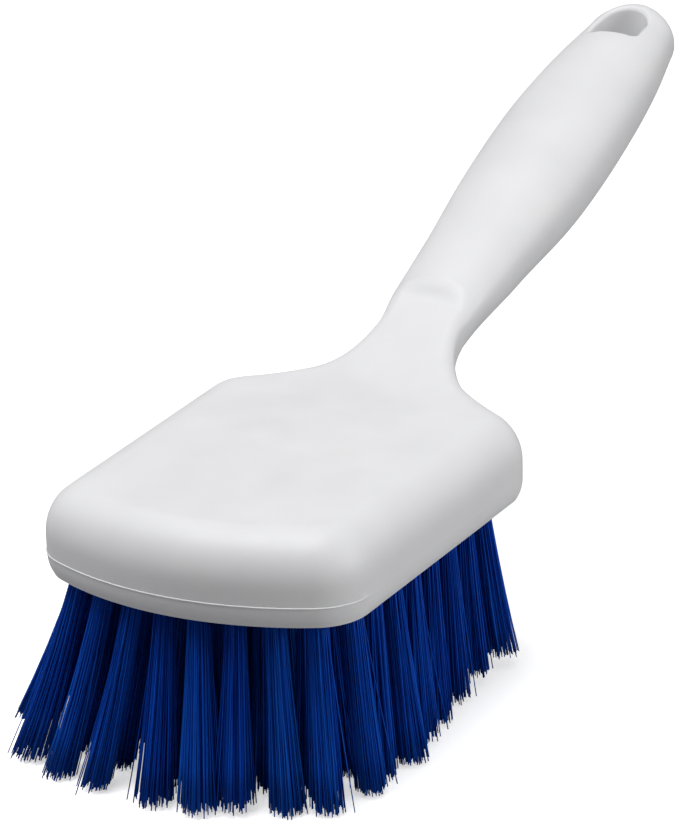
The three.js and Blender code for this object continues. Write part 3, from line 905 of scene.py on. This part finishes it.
def colour_ramp(tree, source, stops):
    node = tree.nodes.new("ShaderNodeValToRGB")
    elements = node.color_ramp.elements
    elements.remove(elements[1])
    elements[0].position, elements[0].color = stops[0][0], (*stops[0][1], 1)
    for position, colour in stops[1:]:
        elements.new(position).color = (*colour, 1)
    tree.links.new(source, node.inputs["Fac"])
    return node.outputs["Color"]


def body_plastic():
    made, tree, shader = material("satin_white_plastic")
    place = object_place(tree)
    white = colour_ramp(tree, noise(tree, place, CLOUD_SCALE), WHITE_STOPS)
    tree.links.new(white, shader.inputs["Base Color"])
    handled = noise(tree, place, HANDLED_SCALE, detail=4)
    tree.links.new(ramp(tree, handled, SATIN, HANDLED_RANGE), shader.inputs["Roughness"])
    grain = tree.nodes.new("ShaderNodeBump")
    grain.inputs["Strength"].default_value = GRAIN_STRENGTH
    grain.inputs["Distance"].default_value = GRAIN_HEIGHT
    tree.links.new(noise(tree, place, GRAIN_SCALE), grain.inputs["Height"])
    tree.links.new(grain.outputs["Normal"], shader.inputs["Normal"])
    shader.inputs["IOR"].default_value = PLASTIC_IOR
    return made


body.data.materials.clear()
body.data.materials.append(body_plastic())
print("body plastic mixed")

# %% [markdown]
# ## Blue filament
#
# The filaments are coloured through, with slightly different blues from bunch to bunch, and they
# catch the light in thin lines. A noise could vary the blue, but it would run across neighbours. So
# each filament's own tone picks its blue, and the distance from the root makes the tips a little
# lighter.

# %% Mix the filament
BLUE_STOPS = (
    (0.1, (0.001, 0.034, 0.350)), (0.5, (0.003, 0.072, 0.540)), (0.95, (0.007, 0.115, 0.590)))
# the blue grows a little lighter from the root to the tip
TIP_LIGHTENING, FILAMENT_ROUGHNESS, FILAMENT_SHINE = 0.12, (0.34, 0.50), 0.08


def filament_plastic():
    made, tree, shader = material("blue_filament")
    tone, along = (tree.nodes.new("ShaderNodeAttribute") for _ in range(2))
    tone.attribute_name, along.attribute_name = "tone", "along"
    blend = tree.nodes.new("ShaderNodeMath")
    blend.operation = "MULTIPLY_ADD"
    tree.links.new(along.outputs["Fac"], blend.inputs[0])
    blend.inputs[1].default_value = TIP_LIGHTENING
    tree.links.new(tone.outputs["Fac"], blend.inputs[2])
    blue = colour_ramp(tree, blend.outputs["Value"], BLUE_STOPS)
    tree.links.new(blue, shader.inputs["Base Color"])
    tree.links.new(ramp(tree, tone.outputs["Fac"], FILAMENT_ROUGHNESS), shader.inputs["Roughness"])
    shader.inputs["Specular IOR Level"].default_value = FILAMENT_SHINE
    return made


blue_filament = filament_plastic()
for tuft in tufts.values():
    tuft.data.materials.append(blue_filament)
print("filament mixed")

# %% [markdown]
# ## Anchor wire
#
# The flat wires across the folds of the tufts stay as the CAD has them, deep in the block. They are
# drawn steel, so fine lines run along their length. Noise that is squeezed across the wire and
# stretched along it gives such lines without a picture of them.

# %% Finish the anchors
WIRE_STOPS = ((0.3, (0.52, 0.53, 0.55)), (0.7, (0.66, 0.67, 0.68)))
WIRE_STRETCH, WIRE_ROUGHNESS = (3000, 120, 3000), (0.28, 0.42)


def drawn_wire():
    made, tree, shader = material("drawn_wire")
    stretch = tree.nodes.new("ShaderNodeMapping")
    stretch.inputs["Scale"].default_value = WIRE_STRETCH
    tree.links.new(object_place(tree), stretch.inputs["Vector"])
    lines = noise(tree, stretch.outputs["Vector"], scale=1)
    tree.links.new(colour_ramp(tree, lines, WIRE_STOPS), shader.inputs["Base Color"])
    tree.links.new(ramp(tree, lines, WIRE_ROUGHNESS), shader.inputs["Roughness"])
    shader.inputs["Metallic"].default_value = 1.0
    return made


wire = drawn_wire()
anchors = [node for name, node in frame["nodes"].items() if name.startswith("anchor_")]
for anchor in anchors:
    anchor.data.materials.clear()
    anchor.data.materials.append(wire)
print(len(anchors), "anchors finished")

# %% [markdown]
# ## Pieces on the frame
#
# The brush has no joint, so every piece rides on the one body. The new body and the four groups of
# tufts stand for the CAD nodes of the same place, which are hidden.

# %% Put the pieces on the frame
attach(body, "root")
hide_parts("brush_body")
for piece, tuft in tufts.items():
    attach(tuft, "root")
    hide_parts("bristles_" + piece)
print("pieces ride on the frame")

# %% [markdown]
# ## Floor
#
# The photograph is a plain studio shot on white. A real studio lights a paper sweep until it is
# white. Here the floor glows for the camera only, more with the distance, and still keeps the brush's
# shadow. To the light that bounces on to the brush it is a mid grey, or the underside would be too
# bright.

# %% Lay the floor
FLOOR_STOPS = ((0.3, (0.92, 0.92, 0.92)), (0.7, (0.94, 0.94, 0.94)))
FLOOR_SIZE, FLOOR_SCALE, FLOOR_BOUNCE = 6, 3, (0.35, 0.35, 0.35, 1)
FLOOR_ROUGHNESS, FLOOR_SHINE = 0.9, 0.1
FLOOR_GLOW, GLOW_DISTANCES = (0.55, 0.95), (0.3, 1.2)
WHITE = (1, 1, 1, 1)


def pale_floor():
    made, tree, shader = material("pale_floor")
    place = object_place(tree)
    pale = colour_ramp(tree, noise(tree, place, FLOOR_SCALE), FLOOR_STOPS)
    seen = tree.nodes.new("ShaderNodeLightPath").outputs["Is Camera Ray"]
    bounce = tree.nodes.new("ShaderNodeMix")
    bounce.data_type = "RGBA"
    bounce.inputs["A"].default_value = FLOOR_BOUNCE
    tree.links.new(seen, bounce.inputs["Factor"])
    tree.links.new(pale, bounce.inputs["B"])
    tree.links.new(bounce.outputs["Result"], shader.inputs["Base Color"])
    shader.inputs["Roughness"].default_value = FLOOR_ROUGHNESS
    shader.inputs["Specular IOR Level"].default_value = FLOOR_SHINE
    shader.inputs["Emission Color"].default_value = WHITE
    distance, glow = tree.nodes.new("ShaderNodeVectorMath"), tree.nodes.new("ShaderNodeMath")
    distance.operation, glow.operation = "LENGTH", "MULTIPLY"
    tree.links.new(place, distance.inputs[0])
    tree.links.new(seen, glow.inputs[0])
    tree.links.new(ramp(tree, distance.outputs["Value"], FLOOR_GLOW, GLOW_DISTANCES), glow.inputs[1])
    tree.links.new(glow.outputs["Value"], shader.inputs["Emission Strength"])
    return made


bpy.ops.object.select_all(action="DESELECT")
bpy.ops.mesh.primitive_plane_add(size=FLOOR_SIZE, location=(0, 0, 0))
floor = bpy.context.object
floor.name = "studio_floor"
floor.data.materials.append(pale_floor())
print("floor", FLOOR_SIZE, "m wide")

# %% [markdown]
# ## Light
#
# The brush is lit softly from above. One wide lamp hangs over its front, and two weaker ones fill its
# sides. The world is white to the camera and gives only a little light, because an evenly lit white
# body would lose its shape. Places and sizes are in metres here.

# %% Hang the lamps
WORLD_STRENGTHS = (0.12, 1.0)
LAMP_TARGET = (0, -0.03, 0.06)

world = bpy.data.worlds.new("white_studio")
bpy.context.scene.world = world
world.use_nodes = True
backdrop = world.node_tree.nodes["Background"]
backdrop.inputs["Color"].default_value = WHITE
to_camera = world.node_tree.nodes.new("ShaderNodeLightPath").outputs["Is Camera Ray"]
world_strength = ramp(world.node_tree, to_camera, WORLD_STRENGTHS)
world.node_tree.links.new(world_strength, backdrop.inputs["Strength"])


def lamp(name, place, size, watts):
    light = bpy.data.lights.new(name, "AREA")
    light.shape, light.size, light.energy = "DISK", size, watts
    obj = bpy.data.objects.new(name, light)
    obj.location = place
    obj.rotation_euler = (Vector(LAMP_TARGET) - Vector(place)).to_track_quat("-Z", "Y").to_euler()
    bpy.context.collection.objects.link(obj)


lamp("key_softbox", place=(-0.12, -0.32, 1.3), size=0.9, watts=12.8)
lamp("right_fill", place=(1.15, 0.15, 0.45), size=0.7, watts=6.0)
lamp("left_fill", place=(-1.1, -0.2, 0.75), size=0.8, watts=3.6)
bpy.context.scene.view_settings.view_transform = "Standard"

# %% [markdown]
# ## Camera
#
# The camera stands to the right of the front and looks down on the block. It could be set by eye, but
# its place, lens and slight roll were found from the outline of the brush in the photograph, so that
# the two pictures can be laid over each other.

# %% Place the camera
AZIMUTH, ELEVATION, ROLL = math.radians(27.66), math.radians(19.98), math.radians(-1.59)
DISTANCE, AIM, FOCAL_PIXELS, IMAGE_HEIGHT, SENSOR = 618.0, (1.25, 76.16, 0.0), 2771.9, 825, 36.0
CLIP_NEAR, CLIP_FAR = 0.01, 20

back = Vector((math.sin(AZIMUTH) * math.cos(ELEVATION), -math.cos(AZIMUTH) * math.cos(ELEVATION),
               math.sin(ELEVATION)))
lens = bpy.data.cameras.new("studio_camera")
lens.sensor_fit, lens.sensor_height, lens.sensor_width = "VERTICAL", SENSOR, SENSOR
lens.lens = FOCAL_PIXELS / IMAGE_HEIGHT * SENSOR
lens.clip_start, lens.clip_end = CLIP_NEAR, CLIP_FAR
camera = bpy.data.objects.new("studio_camera", lens)
turned = back.to_track_quat("Z", "Y").to_matrix() @ Matrix.Rotation(ROLL, 3, "Z")
camera.matrix_world = Matrix.Translation(placed(Vector(AIM)) + back * DISTANCE * MM) @ turned.to_4x4()
bpy.context.collection.objects.link(camera)
bpy.context.scene.camera = camera
print("camera at", [round(value, 4) for value in camera.location], "lens", round(lens.lens, 2), "mm")
